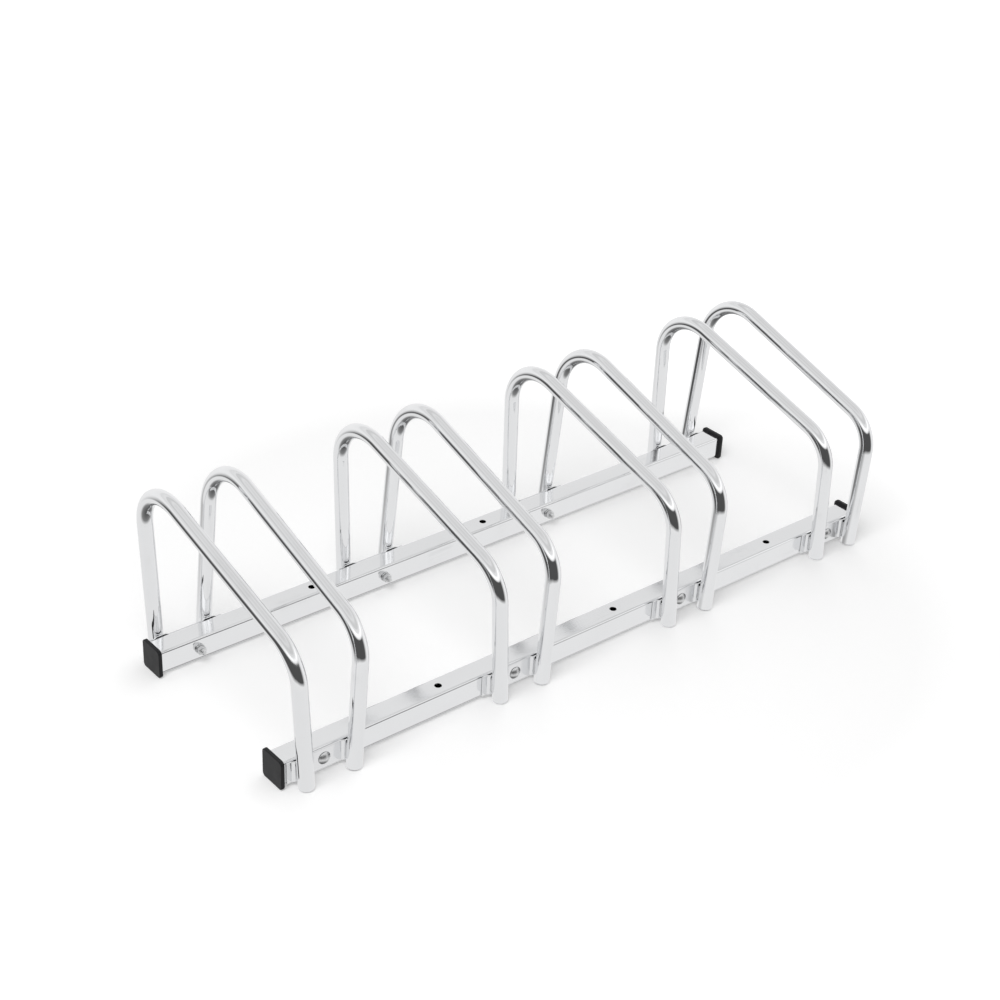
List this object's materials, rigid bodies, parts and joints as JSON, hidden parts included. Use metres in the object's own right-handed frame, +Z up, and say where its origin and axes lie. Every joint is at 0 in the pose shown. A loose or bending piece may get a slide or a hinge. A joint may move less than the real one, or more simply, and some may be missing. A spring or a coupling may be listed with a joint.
{
  "type": "floor bike rack",
  "caption": "Floor bike rack: bent tube hoops in pairs on two square rails, each pair holding one wheel upright, with plastic end caps as feet.",
  "frame": {"origin": "on the floor, under the middle of the rack", "axes": "+X along the rails to the right, seen from the low side of the hoops; +Y from the low side, where a wheel rolls in, to the high side; +Z up"},
  "size_m": [0.9406, 0.3372, 0.258],
  "materials": {
    "hoop": "bright plated tube",
    "rail": "bright plated tube, slightly satin",
    "strip": "bright plated pressed strip",
    "fastener": "zinc plated",
    "cap": "moulded, fine grain"
  },
  "bodies": {
    "root": {"rail_front": "rail", "end_cap_front_left": "cap", "end_cap_front_right": "cap", "strip_bracket_front_1": "strip", "cup_head_bolt_front_1": "fastener", "washer_front_1": "fastener", "hex_nut_front_1": "fastener", "strip_bracket_front_2": "strip", "cup_head_bolt_front_2": "fastener", "washer_front_2": "fastener", "hex_nut_front_2": "fastener", "strip_bracket_front_3": "strip", "cup_head_bolt_front_3": "fastener", "washer_front_3": "fastener", "hex_nut_front_3": "fastener", "strip_bracket_front_4": "strip", "cup_head_bolt_front_4": "fastener", "washer_front_4": "fastener", "hex_nut_front_4": "fastener", "rail_rear": "rail", "end_cap_rear_left": "cap", "end_cap_rear_right": "cap", "strip_bracket_rear_1": "strip", "cup_head_bolt_rear_1": "fastener", "washer_rear_1": "fastener", "hex_nut_rear_1": "fastener", "strip_bracket_rear_2": "strip", "cup_head_bolt_rear_2": "fastener", "washer_rear_2": "fastener", "hex_nut_rear_2": "fastener", "strip_bracket_rear_3": "strip", "cup_head_bolt_rear_3": "fastener", "washer_rear_3": "fastener", "hex_nut_rear_3": "fastener", "strip_bracket_rear_4": "strip", "cup_head_bolt_rear_4": "fastener", "washer_rear_4": "fastener", "hex_nut_rear_4": "fastener", "hoop_1_left": "hoop", "hoop_1_right": "hoop", "hoop_2_left": "hoop", "hoop_2_right": "hoop", "hoop_3_left": "hoop", "hoop_3_right": "hoop", "hoop_4_left": "hoop", "hoop_4_right": "hoop"}
  },
  "joints": []
}
